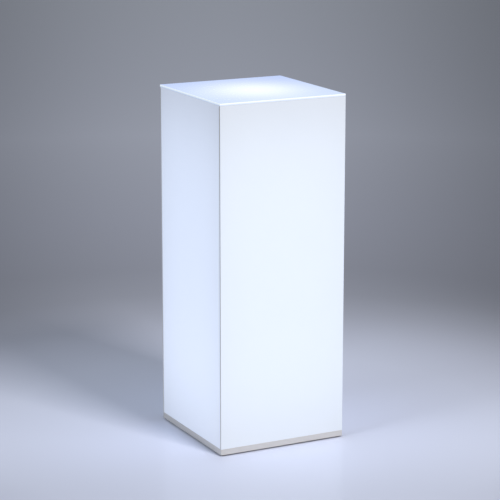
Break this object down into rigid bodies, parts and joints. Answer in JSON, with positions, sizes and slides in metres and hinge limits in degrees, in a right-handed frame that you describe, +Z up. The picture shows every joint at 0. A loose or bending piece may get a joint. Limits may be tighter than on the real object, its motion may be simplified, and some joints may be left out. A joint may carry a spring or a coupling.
{
  "type": "illuminated display pedestal",
  "caption": "Square internally lit display pedestal: a lift-off opal acrylic cover over an LED lamp post, on a narrow laminated base with a rear power inlet.",
  "frame": {"origin": "on the floor, under the middle of the square footprint", "axes": "+Z up, -Y towards the front, +X to the right as seen from the front"},
  "size_m": [0.3556, 0.3556, 0.9144],
  "materials": {
    "opal_wall_acrylic": "gloss",
    "opal_top_acrylic": "gloss",
    "base_laminate": "satin",
    "white_melamine": "satin",
    "glide_nylon": null,
    "zinc_steel": null,
    "mill_aluminium": null,
    "circuit_board": "satin",
    "led_phosphor": null,
    "frosted_lens": null,
    "terminal_nylon": null,
    "brass": null,
    "grommet_rubber": null,
    "red_insulation": "satin",
    "black_insulation": "satin",
    "black_nylon": "satin"
  },
  "bodies": {
    "base": {"board_screws": "zinc_steel", "cable_grommet": "grommet_rubber", "cap_screws": "zinc_steel", "feed_wire_black": "black_insulation", "feed_wire_red": "red_insulation", "flange_screws": "zinc_steel", "glide_front_left": "glide_nylon", "glide_front_right": "glide_nylon", "glide_rear_left": "glide_nylon", "glide_rear_right": "glide_nylon", "glide_screws": "zinc_steel", "lamp_post": "mill_aluminium", "lamp_wire_black": "black_insulation", "lamp_wire_red": "red_insulation", "led_chips_front": "led_phosphor", "led_chips_left": "led_phosphor", "led_chips_rear": "led_phosphor", "led_chips_right": "led_phosphor", "led_strip_front": "circuit_board", "led_strip_left": "circuit_board", "led_strip_rear": "circuit_board", "led_strip_right": "circuit_board", "locator_board": "white_melamine", "plinth_board": "base_laminate", "post_cap": "mill_aluminium", "post_flange": "mill_aluminium", "post_screws": "zinc_steel", "power_plate": "mill_aluminium", "power_plate_screws": "zinc_steel", "power_socket": "black_nylon", "power_socket_lugs": "brass", "power_socket_nut": "zinc_steel", "power_socket_pin": "brass", "strip_jumpers_black": "black_insulation", "strip_jumpers_red": "red_insulation", "supply_wire_black": "black_insulation", "supply_wire_red": "red_insulation", "switch_housing": "black_nylon", "switch_jumper": "red_insulation", "switch_terminals": "brass", "terminal_barrels": "brass", "terminal_block": "terminal_nylon", "terminal_mount_screws": "zinc_steel", "terminal_screws": "zinc_steel", "top_lamp_board": "circuit_board", "top_lamp_chips": "led_phosphor", "top_lamp_housing": "mill_aluminium", "top_lamp_lens": "frosted_lens", "top_lamp_screws": "zinc_steel"},
    "cover": {"front_panel": "opal_wall_acrylic", "rear_panel": "opal_wall_acrylic", "left_panel": "opal_wall_acrylic", "right_panel": "opal_wall_acrylic", "top_panel": "opal_top_acrylic"},
    "rocker": {"switch_rocker": "black_nylon"}
  },
  "joints": [
    {"name": "cover_lift", "type": "slide", "parent": "base", "child": "cover", "axis": [0, 0, 1], "range_m": [0, 0.85]},
    {"name": "rocker_tip", "type": "hinge", "parent": "base", "child": "rocker", "pos_m": [0.012, 0.17402, 0.011], "axis": [0, 0, 1], "range_deg": [0, 20]}
  ]
}
